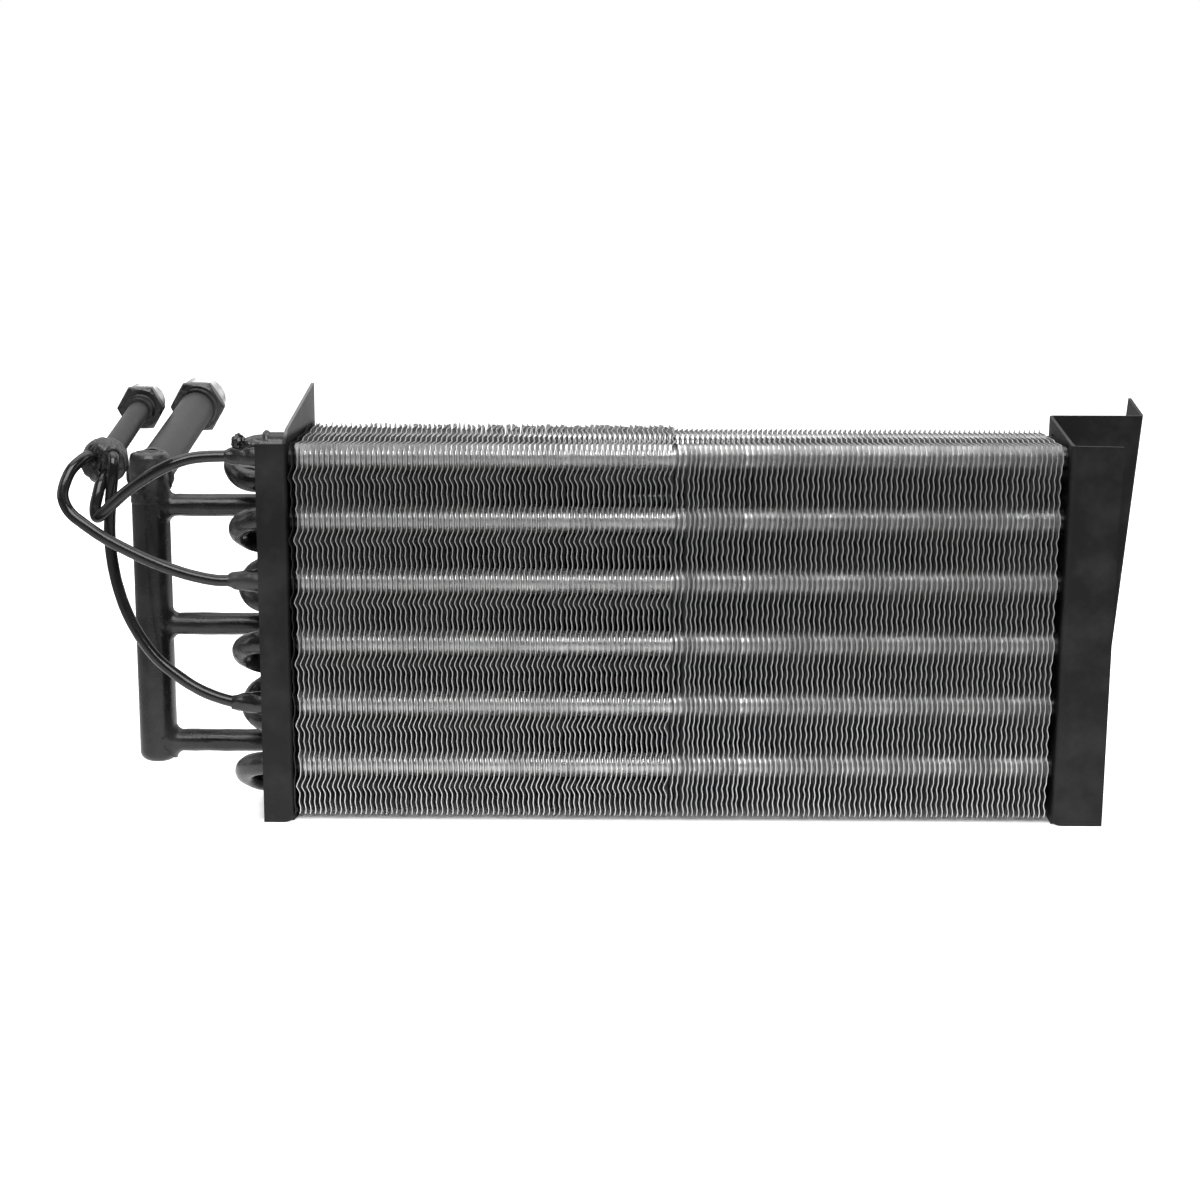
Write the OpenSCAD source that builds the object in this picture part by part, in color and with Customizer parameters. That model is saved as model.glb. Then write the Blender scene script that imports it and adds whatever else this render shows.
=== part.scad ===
// Evaporator core: a stack of corrugated fins on nine hairpin tubes, two sheet
// end plates, a suction header and a liquid distributor with three capillaries.
// X runs along the tubes, Y from the air inlet face to the back, Z up.

/* [Fins] */
// Number of fins in the left batch
left_fins = 73; // [10:1:80]
// Number of fins in the right batch
right_fins = 74; // [10:1:80]
// Spacing from one fin to the next
fin_pitch = 2.08; // [1.8:0.02:3]
// Thickness of the fin sheet
fin_t = 0.2; // [0.15:0.05:0.3]
// Height of the folded ridges between the tube rows
ridge_h = 1.3; // [0.6:0.1:1.6]
// Sideways bend of the front lip of a fin
lip_bend = 0.8; // [0.3:0.1:1]

/* [Tubes] */
// Outer diameter of the core tubes
tube_od = 9.525; // [9.5:0.005:9.6]
// Wall of the core tubes
tube_wall = 0.4; // [0.3:0.05:0.6]
// Height from one tube to the next in a row
tube_pitch = 25.4; // [24:0.1:27]
// Depth from one row of tubes to the next
row_pitch = 19.05; // [18:0.05:22]

/* [End plates] */
// Thickness of the plate sheet
sheet_t = 1.3; // [1:0.1:1.5]
// Inner radius of the folds
fold_r = 1; // [0.8:0.1:1.5]
// Depth of the webs
web_depth = 63.5; // [62:0.5:66]
// How far the left web stands out of square, in degrees
left_turn = 3.4; // [2:0.1:3.4]
// How far the right web stands out of square, in degrees
right_turn = 1.4; // [1:0.1:3]
// How far the right plate leans inwards at its foot, in degrees
right_lean = 0.9; // [0:0.1:1]
// Width of the left front flange
left_flange_w = 11.9; // [10:0.1:14]
// Width of the right front flange
right_flange_w = 20.6; // [20:0.1:22]

/* [Suction side] */
// Outer diameter of the header and of the suction line
header_od = 15.875; // [15.8:0.005:16]
// Wall of the header and of the suction line
header_wall = 1; // [0.8:0.1:1.3]
// Thread diameter of the suction fitting
suction_thread_d = 22; // [20:0.5:22]
// Width across the flats of the suction fitting's hexagon
suction_hex_af = 22; // [22:0.5:24]

/* [Liquid side] */
// Outer diameter of the liquid line
liquid_od = 9.525; // [9.5:0.005:9.6]
// Outer diameter of the capillary tubes
capillary_od = 4.76; // [4.5:0.02:4.8]
// Outer diameter of the distributor
distributor_od = 18.5; // [18:0.1:19]
// Thread diameter of the liquid fitting
liquid_thread_d = 18; // [17:0.5:18]
// Width across the flats of the liquid fitting's hexagon
liquid_hex_af = 18.5; // [18:0.5:20]

/* [Hidden] */
$fn = 48;

fin_h = 6 * tube_pitch;
fin_depth = 3 * row_pitch;
core_w = (left_fins + right_fins) * fin_pitch;
tube_r = tube_od / 2;
collar_r = tube_r + 0.6;
lip_l = 3.9;
ridge_l = 3.9;

// Tube rows, front to back, and the height of the top tube of each row
row_y = [0.5 * row_pitch, 1.5 * row_pitch, 2.5 * row_pitch];
row_top = [5.75 * tube_pitch, 5.25 * tube_pitch, 5.75 * tube_pitch];
function tube_z(row, k) = row_top[row] - k * tube_pitch;

// Plates: front plane, foot and top, and the fin side of each web there
front_y = -3;
foot_z = -2.8;
top_z = fin_h;
left_web_x = -3.1;
right_web_x = core_w + 2.6;
web_hole_r = tube_r + 0.75;
left_tip_z = 171;
right_back_z = 158;
flange_taper = 2.6;
rear_flange_top_w = 35.1;
rear_flange_foot_w = 23;
return_depth = 29;
return_tip_z = 163;
fold_R = fold_r + sheet_t;
fold_steps = 8;
// The rear flange ends this far inside the folded edge strip
flange_lap = 0.5;
corner_w = 5.5;
corner_h = 3;

// Tube ends: a bell on each leg takes the spigot of a return bend
bell_r = tube_r + 0.75;
bell_l = 7;
bell_mouth_x = -13.5;
long_bell_mouth_x = -18;
flare_l = 0.8;
spigot_l = 5.5;
hairpin_bend_x = core_w + 2.8;

// Suction header, its cap and its line
header_x = -67.7;
header_y = row_y[2];
header_r = header_od / 2;
header_bottom_z = 10.5;
header_top_z = 141.5;
header_corner_r = 4;
cap_r = header_r + 1.35;
cap_bottom_z = 125;
cap_top_z = 143;
cap_corner_r = 2;
suction_joint_z = 132.5;
suction_rise = 9.3;
suction_run = 108.5;
outlet_r = 6.2;
fillet_w = 2.2;
fillet_l = 3;

// Distributor and liquid line: centre of the distributor's front face
distributor_at = [-81.5, 22, 141];
distributor_l = 18;
distributor_cone_z = 9;
distributor_socket_z = 10;
distributor_neck_wall = 2;
liquid_rise = 7;
liquid_turn = 3;
liquid_run = 101.5;
liquid_wall = 0.8;
capillary_r = capillary_od / 2;
capillary_sides = 10;
capillary_steps = 3;
sleeve_end_x = -29;
sleeve_nose_l = 7;
sleeve_wall = 0.9;

// Fittings: hexagon, neck and thread along their axis
hex_l = 7.5;
neck_l = 1.5;
neck_step = 1.3;
thread_l = 8;
thread_chamfer = 1;
seat_w = 2.5;
socket_wall = 0.9;
liquid_socket_wall = 1.39;

// Routes of the capillaries, from the distributor to the front tubes
route_1 = [[-80, 28, 138], [-80, 22, 137], [-81, 17, 134.5], [-82, 14.5, 130], [-83, 13, 124.5],
    [-82.5, 12, 121], [-80.5, 11, 121.5], [-75, 9.5, 126.5], [-68, 8.5, 132.5], [-59, 8, 138.5],
    [-50, 8, 143], [-41, 9, 145.5], [-30, 9.525, 146.05], [-19, 9.525, 146.05]];
route_2 = [[-85, 28, 143.5], [-85, 22, 144], [-87, 17, 144.5], [-91, 12, 141], [-93.5, 9, 136],
    [-94.5, 7, 130], [-92, 6, 124], [-86, 5, 119], [-77.5, 5, 113], [-67.5, 5.5, 107.5],
    [-56, 6.5, 102], [-45, 7.5, 98], [-35, 9, 95.5], [-27, 9.525, 95.25], [-19, 9.525, 95.25]];
route_3 = [[-77, 28, 143.5], [-77, 22, 144.5], [-76, 17.5, 143.5], [-76, 16, 138], [-77, 16, 130],
    [-78, 16, 119], [-78, 15.5, 108], [-76, 15, 94], [-72, 14, 81.5], [-66.5, 13, 71],
    [-59.5, 12, 62], [-51, 11, 55], [-42, 10, 49.5], [-33, 9.525, 46], [-26, 9.525, 44.45],
    [-19, 9.525, 44.45]];

// The part stands on its plates with the middle of its box over the origin
box_left = -97;
box_right = 349.3;
box_front = front_y;
box_back = 175;
module seated() {
    translate([-(box_left + box_right) / 2, -(box_front + box_back) / 2, -foot_z])
        children();
}

// A body built along +Z, laid along +Y, raised and turned to the left
module laid(at, rise, turn) {
    translate(at)
        rotate([rise, 0, turn])
            rotate([-90, 0, 0])
                children();
}

// A body built along +Z, laid along +X
module along_x(at) {
    translate(at)
        rotate([0, 90, 0])
            children();
}

module ring(r_out, r_in) {
    difference() {
        circle(r_out);
        circle(r_in);
    }
}

module pipe(r_out, r_in, l) {
    linear_extrude(l)
        ring(r_out, r_in);
}

// Plan outline of one fin: flat bands at the tube rows, folded ridges between
// them, and a bent front lip
function fin_line() = [
    [-lip_bend, 0], [0, lip_l],
    [0, row_pitch - ridge_l], [ridge_h, row_pitch], [0, row_pitch + ridge_l],
    [0, 2 * row_pitch - ridge_l], [-ridge_h, 2 * row_pitch], [0, 2 * row_pitch + ridge_l],
    [0, fin_depth]];
module fin_outline(x) {
    line = fin_line();
    n = len(line);
    near = [for (p = line) [x + p[0], p[1]]];
    far = [for (i = [n - 1:-1:0]) [x + line[i][0] + fin_t, line[i][1]]];
    polygon(concat(near, far));
}

// One batch: the fins, and the collars that reach from fin to fin
module fin_batch(fins) {
    w = fins * fin_pitch;
    difference() {
        union() {
            for (i = [0:fins - 1])
                linear_extrude(fin_h)
                    fin_outline((i + 0.5) * fin_pitch);
            for (row = [0:2], k = [0:5])
                along_x([fin_pitch / 2 + fin_t / 2, row_y[row], tube_z(row, k)])
                    cylinder(r = collar_r, h = w - fin_pitch / 2);
        }
        for (row = [0:2], k = [0:5])
            along_x([-1, row_y[row], tube_z(row, k)])
                cylinder(r = tube_r, h = w + 2);
    }
}

module fin_stack_left() {
    color("gainsboro")
        seated()
            fin_batch(left_fins);
}

module fin_stack_right() {
    color("silver")
        seated()
            translate([core_w, 0, 0])
                mirror([1, 0, 0])
                    fin_batch(right_fins);
}

// One leg of a hairpin, with its bell at the left end
module hairpin_leg(row, k, mouth_x) {
    at = [mouth_x, row_y[row], tube_z(row, k)];
    along_x(at)
        pipe(bell_r, tube_r, bell_l);
    along_x(at + [bell_l, 0, 0])
        pipe(bell_r, tube_r - tube_wall, flare_l);
    along_x(at + [bell_l + flare_l, 0, 0])
        pipe(tube_r, tube_r - tube_wall, hairpin_bend_x - mouth_x - bell_l - flare_l);
}

// Two legs joined at the right by a bend in the vertical plane
module hairpin(row, pair, mouths) {
    k = 2 * pair;
    color("dimgray")
        seated() {
            hairpin_leg(row, k, mouths[0]);
            hairpin_leg(row, k + 1, mouths[1]);
            translate([hairpin_bend_x, row_y[row], tube_z(row, k) - tube_pitch / 2])
                rotate([90, 0, 0])
                    rotate([0, 0, -90])
                        rotate_extrude(angle = 180)
                            translate([tube_pitch / 2, 0])
                                ring(tube_r, tube_r - tube_wall);
        }
}

module hairpin_front_1() { hairpin(0, 0, [bell_mouth_x, bell_mouth_x]); }
module hairpin_front_2() { hairpin(0, 1, [bell_mouth_x, bell_mouth_x]); }
module hairpin_front_3() { hairpin(0, 2, [bell_mouth_x, bell_mouth_x]); }
module hairpin_middle_1() { hairpin(1, 0, [long_bell_mouth_x, bell_mouth_x]); }
module hairpin_middle_2() { hairpin(1, 1, [bell_mouth_x, bell_mouth_x]); }
module hairpin_middle_3() { hairpin(1, 2, [bell_mouth_x, bell_mouth_x]); }
module hairpin_rear_1() { hairpin(2, 0, [long_bell_mouth_x, bell_mouth_x]); }
module hairpin_rear_2() { hairpin(2, 1, [bell_mouth_x, bell_mouth_x]); }
module hairpin_rear_3() { hairpin(2, 2, [bell_mouth_x, bell_mouth_x]); }

// A half ring between two tube ends of neighbouring rows, with two spigots
module return_bend(row, k, mouth_x) {
    a = [row_y[row], tube_z(row, k)];
    b = [row_y[row + 1], tube_z(row + 1, k)];
    span = norm(b - a);
    tilt = atan2(b[1] - a[1], b[0] - a[0]);
    color("dimgray")
        seated()
            translate([mouth_x - 0.5, (a[0] + b[0]) / 2, (a[1] + b[1]) / 2])
                rotate([tilt, 0, 0]) {
                    rotate([0, 0, 90])
                        rotate_extrude(angle = 180)
                            translate([span / 2, 0])
                                ring(tube_r, tube_r - tube_wall);
                    for (side = [-1, 1])
                        along_x([0, side * span / 2, 0])
                            pipe(tube_r, tube_r - tube_wall, spigot_l);
                }
}

module return_bend_front_1() { return_bend(0, 1, bell_mouth_x); }
module return_bend_front_2() { return_bend(0, 3, bell_mouth_x); }
module return_bend_front_3() { return_bend(0, 5, bell_mouth_x); }
module return_bend_rear_1() { return_bend(1, 0, long_bell_mouth_x); }
module return_bend_rear_2() { return_bend(1, 2, bell_mouth_x); }
module return_bend_rear_3() { return_bend(1, 4, bell_mouth_x); }

// Points on an arc from angle a0 to a1
function arc(c, r, a0, a1) = [for (i = [0:fold_steps])
    let (a = a0 + (a1 - a0) * i / fold_steps) [c[0] + r * cos(a), c[1] + r * sin(a)]];
function turned(p, a) = [p[0] * cos(a) - p[1] * sin(a), p[0] * sin(a) + p[1] * cos(a)];

// Prism along X of an outline given in Y and Z
module yz_prism(l) {
    rotate([90, 0, 90])
        linear_extrude(l)
            children();
}

// Prism along Y of an outline given in X and Z
module xz_prism(l) {
    translate([0, l, 0])
        rotate([90, 0, 0])
            linear_extrude(l)
                children();
}

// The clearance holes of the 18 tubes in a web
module tube_holes(x0, l) {
    for (row = [0:2], k = [0:5])
        along_x([x0, row_y[row], tube_z(row, k)])
            cylinder(r = web_hole_r, h = l);
}

// Quarter ellipse cut under the front fold, where the plate's corner is eased
module eased_corner(x, dir) {
    cut = [for (i = [0:6]) [x + dir * corner_w * (1 - cos(15 * i)), foot_z + corner_h * (1 - sin(15 * i))]];
    outside = [[x + dir * corner_w, foot_z - 1], [x - dir, foot_z - 1], [x - dir, foot_z + corner_h]];
    translate([0, front_y - 1, 0])
        xz_prism(fold_R + 2)
            polygon(concat(cut, outside));
}

// Left plate: narrow flange folded away from the fins, web with a sloping top
module left_end_plate() {
    centre = [left_web_x - fold_R, front_y + fold_R];
    flange_x = left_web_x - left_flange_w;
    web_l = web_depth - fold_R;
    tip_y = front_y + fold_R + web_l;
    color([0.13, 0.13, 0.13])
        seated()
            difference() {
                intersection() {
                    translate([0, 0, foot_z])
                        linear_extrude(left_tip_z - foot_z)
                            polygon(concat(
                                [[flange_x, front_y]],
                                arc(centre, fold_R, -90, -left_turn),
                                [centre + turned([fold_R, web_l], -left_turn),
                                 centre + turned([fold_r, web_l], -left_turn)],
                                arc(centre, fold_r, -left_turn, -90),
                                [[flange_x, front_y + sheet_t]]));
                    translate([flange_x - 1, 0, 0])
                        yz_prism(left_flange_w + 10)
                            polygon([[front_y - 1, foot_z - 1], [tip_y + 1, foot_z - 1],
                                [tip_y + 1, left_tip_z + 0.3], [front_y + fold_R + 6, top_z + 5],
                                [front_y + fold_R, top_z], [front_y - 1, top_z]]);
                }
                eased_corner(left_web_x + 1, -1);
                tube_holes(left_web_x - 4, 8);
            }
}

// Right plate: channel with a wide front flange and a tapering rear flange,
// whose sloping outer edge is folded back. All of it leans inwards at its foot.
module right_end_plate() {
    front_fold = [right_web_x + fold_R, front_y + fold_R];
    web_l = web_depth - 2 * fold_R;
    rear_fold = front_fold + turned([0, web_l], -right_turn);
    rear_y = rear_fold[1] + fold_R;
    foot_x = rear_fold[0] + rear_flange_foot_w;
    back_x = rear_fold[0] + rear_flange_top_w;
    slope = atan2(back_x - foot_x, right_back_z - foot_z);
    flange_top_x = right_web_x + right_flange_w;
    low_z = foot_z - 2;
    high_z = return_tip_z + 2;
    plan = concat(
        [[foot_x, front_y + sheet_t]],
        arc(front_fold, fold_r, -90, -180 - right_turn),
        arc(rear_fold, fold_r, 180 - right_turn, 90),
        [[back_x + 5, rear_y - sheet_t], [back_x + 5, rear_y]],
        arc(rear_fold, fold_R, 90, 180 - right_turn),
        arc(front_fold, fold_R, -180 - right_turn, -90),
        [[foot_x, front_y]]);
    front_outline = [[right_web_x - 1, low_z], [flange_top_x - flange_taper, low_z],
        [flange_top_x, top_z], [right_web_x - 1, top_z]];
    rear_outline = [[right_web_x - 1, low_z], [foot_x - (foot_z - low_z) * tan(slope) - flange_lap, low_z],
        [foot_x + (high_z - foot_z) * tan(slope) - flange_lap, high_z], [right_web_x - 1, high_z]];
    color([0.13, 0.13, 0.13])
        seated()
            difference() {
                intersection() {
                    translate([right_web_x, 0, top_z])
                        rotate([0, right_lean, 0])
                            translate([-right_web_x, 0, -top_z])
                                union() {
                                    intersection() {
                                        translate([0, 0, low_z])
                                            linear_extrude(high_z - low_z)
                                                polygon(plan);
                                        union() {
                                            translate([0, front_y - 1, 0])
                                                xz_prism(fold_R + 1)
                                                    polygon(front_outline);
                                            translate([0, front_y + fold_R, 0])
                                                xz_prism(web_depth)
                                                    polygon(rear_outline);
                                        }
                                    }
                                    translate([foot_x, rear_y + fold_r, foot_z])
                                        rotate([0, slope, 0])
                                            translate([0, 0, low_z - foot_z])
                                                linear_extrude(return_tip_z + 10)
                                                    polygon(concat(
                                                        [[-1, -fold_R]],
                                                        arc([0, 0], fold_R, -90, 0),
                                                        [[fold_R, return_depth - fold_R],
                                                         [fold_r, return_depth - fold_R]],
                                                        arc([0, 0], fold_r, 0, -90),
                                                        [[-1, -fold_r]]));
                                }
                    translate([right_web_x - 10, 0, 0])
                        yz_prism(80)
                            polygon([[front_y - 1, foot_z], [rear_y + return_depth + 1, foot_z],
                                [rear_y + return_depth + 1, return_tip_z], [rear_y, right_back_z],
                                [front_y + fold_R, top_z], [front_y - 1, top_z]]);
                }
                eased_corner(right_web_x - 1 - (top_z - foot_z) * sin(right_lean), 1);
                tube_holes(right_web_x - 6, 14);
            }
}

// Outline of a closed tube end: flat, with a rounded corner
function closed_end(r, corner) = concat([[0, 0]],
    [for (i = [0:6]) [r - corner + corner * sin(15 * i), corner - corner * cos(15 * i)]]);

// Header: a tube with a closed bottom, holes for the stubs and the outlet
module suction_header() {
    r_in = header_r - header_wall;
    header_l = header_top_z - header_bottom_z;
    color([0.15, 0.15, 0.15])
        seated()
            difference() {
                translate([header_x, header_y, header_bottom_z])
                    difference() {
                        rotate_extrude()
                            polygon(concat(closed_end(header_r, header_corner_r),
                                [[header_r, header_l], [0, header_l]]));
                        translate([0, 0, header_wall])
                            rotate_extrude()
                                polygon(concat(closed_end(r_in, header_corner_r - header_wall),
                                    [[r_in, header_top_z], [0, header_top_z]]));
                    }
                for (k = [1, 3, 5])
                    along_x([header_x, header_y, tube_z(2, k)])
                        cylinder(r = tube_r, h = header_od);
                laid([header_x, header_y, suction_joint_z], suction_rise, 0)
                    cylinder(r = outlet_r, h = header_od);
            }
}

// Cap over the top of the header, with the outlet hole in its back
module header_cap() {
    color([0.15, 0.15, 0.15])
        seated()
            difference() {
                translate([header_x, header_y, 0])
                    difference() {
                        translate([0, 0, cap_top_z])
                            mirror([0, 0, 1])
                                rotate_extrude()
                                    polygon(concat(closed_end(cap_r, cap_corner_r),
                                        [[cap_r, cap_top_z - cap_bottom_z], [0, cap_top_z - cap_bottom_z]]));
                        translate([0, 0, cap_bottom_z - 1])
                            cylinder(r = header_r, h = header_top_z - cap_bottom_z + 1);
                    }
                laid([header_x, header_y, suction_joint_z], suction_rise, 0)
                    cylinder(r = outlet_r, h = header_od);
            }
}

// Stub from a rear tube to the header, with the fillet of its brazed joint
module suction_stub(k) {
    stub_x = header_x + header_r - header_wall;
    color([0.15, 0.15, 0.15])
        seated()
            difference() {
                union() {
                    along_x([stub_x, header_y, tube_z(2, k)])
                        cylinder(r = tube_r, h = bell_mouth_x + spigot_l - 0.5 - stub_x);
                    difference() {
                        along_x([header_x + header_r - 2, header_y, tube_z(2, k)])
                            cylinder(r1 = tube_r + fillet_w, r2 = tube_r, h = fillet_l + 2);
                        translate([header_x, header_y, tube_z(2, k) - 10])
                            cylinder(r = header_r, h = 20);
                    }
                }
                along_x([header_x, header_y, tube_z(2, k)])
                    cylinder(r = tube_r - tube_wall, h = 80);
            }
}

module suction_stub_1() { suction_stub(1); }
module suction_stub_2() { suction_stub(3); }
module suction_stub_3() { suction_stub(5); }

// Suction line: saddle end on the cap, straight run to the fitting
module suction_pipe() {
    color([0.2, 0.2, 0.2])
        seated()
            difference() {
                laid([header_x, header_y, suction_joint_z], suction_rise, 0)
                    translate([0, 0, 2])
                        pipe(header_r, header_r - header_wall, suction_run + 3);
                translate([header_x, header_y, suction_joint_z - 20])
                    cylinder(r = cap_r, h = 40);
            }
}

// Male fitting: socket, hexagon with eased corners, neck, thread cylinder.
// Its near hexagon face lies at z = 0.
module male_fitting(hex_af, thread_d, line_r, socket_r, socket_l, bore_r) {
    hex_R = hex_af / 2 / cos(30);
    ease = hex_R - hex_af / 2;
    end_z = hex_l + neck_l + thread_l;
    difference() {
        union() {
            translate([0, 0, -socket_l])
                cylinder(r = socket_r, h = socket_l + 1);
            intersection() {
                cylinder(r = hex_R, h = hex_l, $fn = 6);
                rotate_extrude()
                    polygon([[0, 0], [hex_af / 2, 0], [hex_R, ease * 0.6], [hex_R, hex_l - ease * 0.6],
                        [hex_af / 2, hex_l], [0, hex_l]]);
            }
            translate([0, 0, hex_l - 0.5])
                cylinder(r = thread_d / 2 - neck_step, h = neck_l + 1);
            translate([0, 0, hex_l + neck_l])
                rotate_extrude()
                    polygon([[0, 0], [thread_d / 2 - thread_chamfer, 0], [thread_d / 2, thread_chamfer],
                        [thread_d / 2, thread_l - thread_chamfer], [thread_d / 2 - thread_chamfer, thread_l],
                        [0, thread_l]]);
        }
        translate([0, 0, -socket_l - 1])
            cylinder(r = line_r, h = socket_l + 4);
        translate([0, 0, -socket_l])
            cylinder(r = bore_r, h = end_z + socket_l + 1);
        translate([0, 0, end_z - 2])
            cylinder(r1 = bore_r, r2 = bore_r + seat_w, h = 2.01);
    }
}

module suction_fitting() {
    color([0.45, 0.45, 0.45])
        seated()
            laid([header_x, header_y, suction_joint_z], suction_rise, 0)
                translate([0, 0, suction_run + 2])
                    male_fitting(suction_hex_af, suction_thread_d, header_r, header_r + socket_wall, 2,
                        header_r - 1.2);
}

// Distributor: turned body whose front face takes the capillaries and whose
// back takes the liquid line
module distributor() {
    r = distributor_od / 2;
    line_r = liquid_od / 2;
    neck_r = line_r + distributor_neck_wall;
    color([0.15, 0.15, 0.15])
        seated()
            difference() {
                laid(distributor_at, liquid_rise, liquid_turn)
                    difference() {
                        rotate_extrude()
                            polygon([[0, 0], [r - 2.5, 0], [r, 2], [r, distributor_cone_z],
                                [neck_r, distributor_l - 3], [neck_r, distributor_l], [0, distributor_l]]);
                        translate([0, 0, distributor_socket_z])
                            cylinder(r = line_r, h = distributor_l);
                        translate([0, 0, 5.5])
                            cylinder(r1 = line_r + 1.5, r2 = line_r - 0.8, h = 5);
                    }
                for (route = [route_1, route_2, route_3])
                    translate([route[1][0], route[1][1] - 4, route[1][2]])
                        rotate([-90, 0, 0])
                            cylinder(r = capillary_r, h = 11);
            }
}

module liquid_pipe() {
    color([0.2, 0.2, 0.2])
        seated()
            laid(distributor_at, liquid_rise, liquid_turn)
                translate([0, 0, distributor_socket_z])
                    pipe(liquid_od / 2, liquid_od / 2 - liquid_wall, liquid_run - distributor_socket_z + 3);
}

module liquid_fitting() {
    color([0.45, 0.45, 0.45])
        seated()
            laid(distributor_at, liquid_rise, liquid_turn)
                translate([0, 0, liquid_run])
                    male_fitting(liquid_hex_af, liquid_thread_d, liquid_od / 2,
                        liquid_od / 2 + liquid_socket_wall, 7, 3.6);
}

// A smooth line through the points of a route: cubic pieces whose tangents run
// parallel to the neighbours' chords
function piece(p0, p1, p2, p3, t) = 0.5 * (2 * p1 + t * (p2 - p0)
    + t * t * (2 * p0 - 5 * p1 + 4 * p2 - p3) + t * t * t * (3 * p1 - p0 - 3 * p2 + p3));
function smooth(route) = let (last = len(route) - 1) concat(
    [for (i = [0:last - 1], s = [0:capillary_steps - 1])
        piece(route[max(i - 1, 0)], route[i], route[i + 1], route[min(i + 2, last)], s / capillary_steps)],
    [route[last]]);

// A round tube swept along a line of points. Each ring's side direction is
// carried on from the ring before, so that the tube doesn't twist.
function unit(v) = v / norm(v);
function heading(line, i) = unit(line[min(i + 1, len(line) - 1)] - line[max(i - 1, 0)]);
function carried(line, i) = i == 0 ? unit(cross(heading(line, 0), [0.3, 0.2, 1]))
    : let (h = heading(line, i), s = carried(line, i - 1)) unit(s - h * (h * s));
module swept_tube(route, r) {
    line = smooth(route);
    rings = len(line);
    n = capillary_sides;
    points = [for (i = [0:rings - 1])
        let (side = carried(line, i), up = cross(heading(line, i), side))
            for (j = [0:n - 1]) line[i] + r * (cos(360 * j / n) * side + sin(360 * j / n) * up)];
    walls = [for (i = [0:rings - 2], j = [0:n - 1])
        [i * n + j, i * n + (j + 1) % n, (i + 1) * n + (j + 1) % n, (i + 1) * n + j]];
    start = [for (j = [n - 1:-1:0]) j];
    finish = [for (j = [0:n - 1]) (rings - 1) * n + j];
    polyhedron(points, concat(walls, [start], [finish]));
}

module capillary(route) {
    color([0.18, 0.18, 0.18])
        seated()
            swept_tube(route, capillary_r - 0.05);
}

module capillary_1() { capillary(route_1); }
module capillary_2() { capillary(route_2); }
module capillary_3() { capillary(route_3); }

// Reducer brazed into a front tube's bell, drawn down round its capillary
module inlet_sleeve(k) {
    shoulder_l = sleeve_nose_l + 2;
    spigot_x = bell_mouth_x + spigot_l;
    color([0.15, 0.15, 0.15])
        seated()
            along_x([sleeve_end_x, row_y[0], tube_z(0, k)])
                difference() {
                    rotate_extrude()
                        polygon([[0, 0], [capillary_r + sleeve_wall, 0], [capillary_r + sleeve_wall, 2],
                            [tube_r, shoulder_l], [tube_r, spigot_x - sleeve_end_x],
                            [0, spigot_x - sleeve_end_x]]);
                    translate([0, 0, -1])
                        cylinder(r = capillary_r, h = shoulder_l + 3);
                    translate([0, 0, shoulder_l + 1])
                        cylinder(r = tube_r - tube_wall, h = 20);
                }
}

module inlet_sleeve_1() { inlet_sleeve(0); }
module inlet_sleeve_2() { inlet_sleeve(2); }
module inlet_sleeve_3() { inlet_sleeve(4); }

fin_stack_left();
fin_stack_right();
hairpin_front_1();
hairpin_front_2();
hairpin_front_3();
hairpin_middle_1();
hairpin_middle_2();
hairpin_middle_3();
hairpin_rear_1();
hairpin_rear_2();
hairpin_rear_3();
return_bend_front_1();
return_bend_front_2();
return_bend_front_3();
return_bend_rear_1();
return_bend_rear_2();
return_bend_rear_3();
left_end_plate();
right_end_plate();
suction_header();
header_cap();
suction_stub_1();
suction_stub_2();
suction_stub_3();
suction_pipe();
suction_fitting();
liquid_pipe();
liquid_fitting();
distributor();
capillary_1();
capillary_2();
capillary_3();
inlet_sleeve_1();
inlet_sleeve_2();
inlet_sleeve_3();
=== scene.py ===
"""Evaporator core on a white floor: rippled fins, painted tubes and plates, brazed joints."""
import math

import bpy
import numpy as np
from bpy.props import FloatProperty, FloatVectorProperty, IntProperty, PointerProperty
from mathutils import Matrix, Vector


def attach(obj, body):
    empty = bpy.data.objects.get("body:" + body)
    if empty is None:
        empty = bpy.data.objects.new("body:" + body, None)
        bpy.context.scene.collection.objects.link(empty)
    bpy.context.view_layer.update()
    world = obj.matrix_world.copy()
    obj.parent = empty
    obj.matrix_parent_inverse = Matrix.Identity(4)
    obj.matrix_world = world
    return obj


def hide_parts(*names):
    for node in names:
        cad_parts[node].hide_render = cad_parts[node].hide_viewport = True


bl_info = {
    "name": "Evaporator core",
    "version": (1, 0, 0),
    "blender": (4, 5, 0),
    "location": "View3D > Sidebar > Core",
    "description": "Fins, tubes, plates, joints and stage of a finned-tube evaporator core",
    "category": "Object",
}

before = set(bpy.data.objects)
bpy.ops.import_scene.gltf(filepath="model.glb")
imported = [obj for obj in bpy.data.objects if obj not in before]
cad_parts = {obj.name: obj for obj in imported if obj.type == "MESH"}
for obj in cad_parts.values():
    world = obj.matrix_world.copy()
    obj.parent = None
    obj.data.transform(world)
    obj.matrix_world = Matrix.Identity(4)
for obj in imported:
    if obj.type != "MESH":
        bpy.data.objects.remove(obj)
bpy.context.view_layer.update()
MM = 0.001
BODY = "root"


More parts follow.
